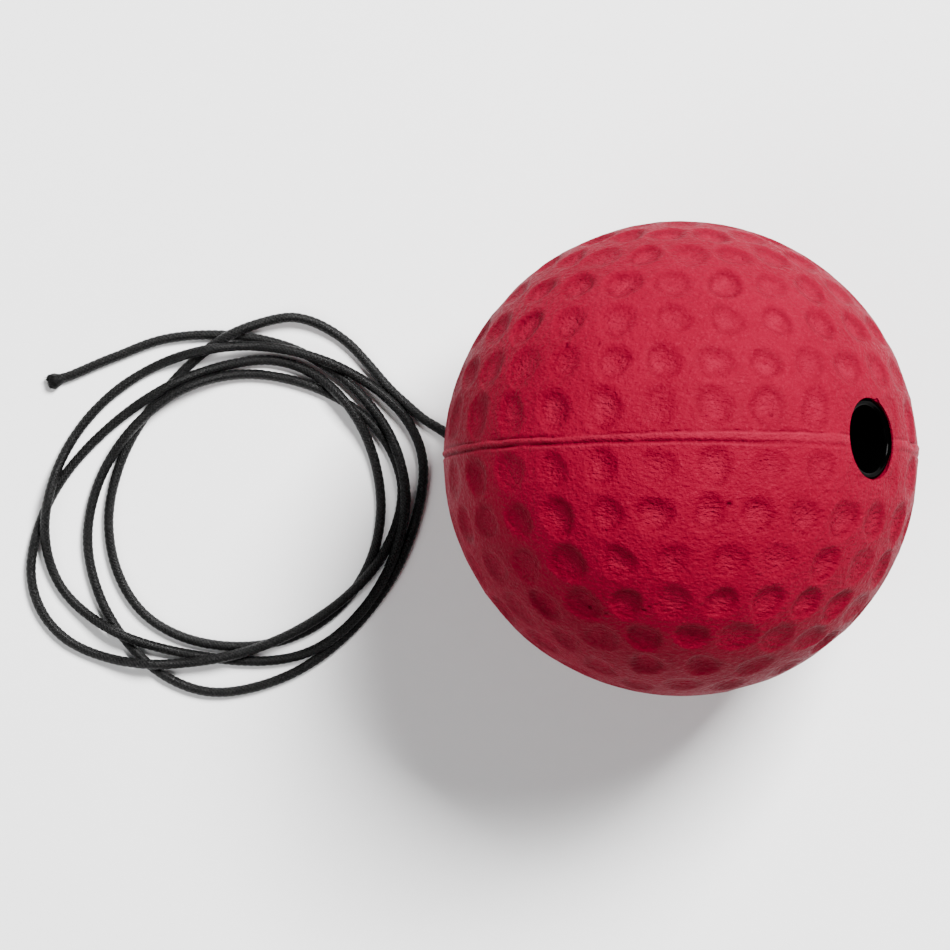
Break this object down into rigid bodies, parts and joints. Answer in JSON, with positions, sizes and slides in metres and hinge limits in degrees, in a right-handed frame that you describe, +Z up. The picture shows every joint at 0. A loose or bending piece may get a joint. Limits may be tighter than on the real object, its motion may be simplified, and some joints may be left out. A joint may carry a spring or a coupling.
{
  "type": "reflex ball",
  "caption": "Dimpled foam ball with a through sleeve, held by a stopper knot on a thin elastic cord that lies loosely coiled beside it.",
  "frame": {"origin": "the lowest point of the ball, on the floor that the ball and the cord lie on", "axes": "+Z up; the bore's mouth faces +X and up; the cord leaves the ball low on the -X side, and its free end points along -X"},
  "size_m": [0.124, 0.0671, 0.0652],
  "materials": {
    "ball_foam": "satin moulded skin with a fine leathery grain",
    "sleeve_plastic": "gloss black moulded",
    "cord_braid": "tight black braid over elastic strands",
    "cord_seal": "melted and slightly frayed braid"
  },
  "bodies": {
    "cord": {"cord_lead": "cord_braid", "cord_coil": "cord_braid", "cord_tail": "cord_braid", "cord_tip": "cord_seal"},
    "ball": {"ball_body": "ball_foam", "core_sleeve": "sleeve_plastic"},
    "knot": {"cord_knot": "cord_braid", "cord_inner": "cord_braid"}
  },
  "joints": [
    {"name": "ball_spin", "type": "hinge", "parent": "cord", "child": "ball", "pos_m": [0, 0, 0.03262], "axis": [0.7837, 0.0824, 0.6157], "continuous": true},
    {"name": "cord_pull_through", "type": "slide", "parent": "cord", "child": "knot", "axis": [0.7837, 0.0824, 0.6157], "range_m": [0, 0.008]}
  ]
}
